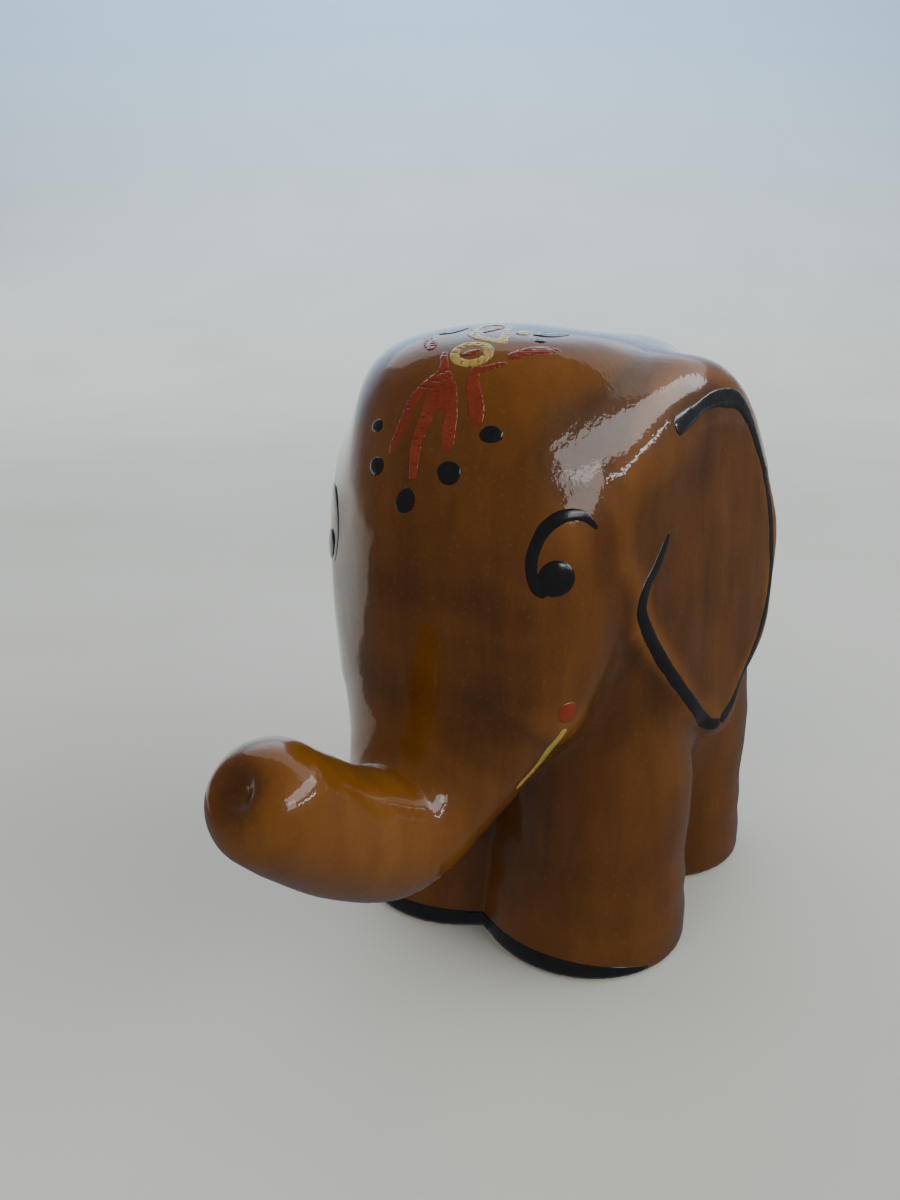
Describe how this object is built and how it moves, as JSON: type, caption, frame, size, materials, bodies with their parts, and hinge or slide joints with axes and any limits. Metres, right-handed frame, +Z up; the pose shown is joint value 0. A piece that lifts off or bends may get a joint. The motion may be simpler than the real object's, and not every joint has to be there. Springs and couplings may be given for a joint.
{
  "type": "elephant money bank",
  "caption": "Glazed ceramic elephant money bank, hollow, with a coin slot in the back and a pull-out rubber stopper in the base.",
  "frame": {"origin": "on the ground under the middle of the overall length and width", "axes": "the elephant faces -Y, its left side is +X, +Z is up"},
  "size_m": [0.052, 0.0952, 0.0764],
  "materials": {
    "glaze": "honey-brown glaze, glossy",
    "stopper_rubber": "matte",
    "enamel_black": "fired enamel, glossy",
    "enamel_red": "fired enamel, glossy",
    "enamel_yellow": "fired enamel, glossy"
  },
  "bodies": {
    "shell": {"body_shell": "glaze", "eye_left": "enamel_black", "eye_right": "enamel_black", "ear_line_left": "enamel_black", "ear_line_right": "enamel_black", "toe_band_left": "enamel_black", "toe_band_right": "enamel_black", "cheek_dot_left": "enamel_red", "cheek_dot_right": "enamel_red", "mouth_line_left": "enamel_yellow", "mouth_line_right": "enamel_yellow", "forehead_dots": "enamel_black", "headdress_red": "enamel_red", "headdress_yellow": "enamel_yellow", "headdress_black": "enamel_black"},
    "bung": {"stopper": "stopper_rubber"}
  },
  "joints": [
    {"name": "stopper_pull", "type": "slide", "parent": "shell", "child": "bung", "axis": [0, 0, -1], "range_m": [0, 0.025]}
  ]
}
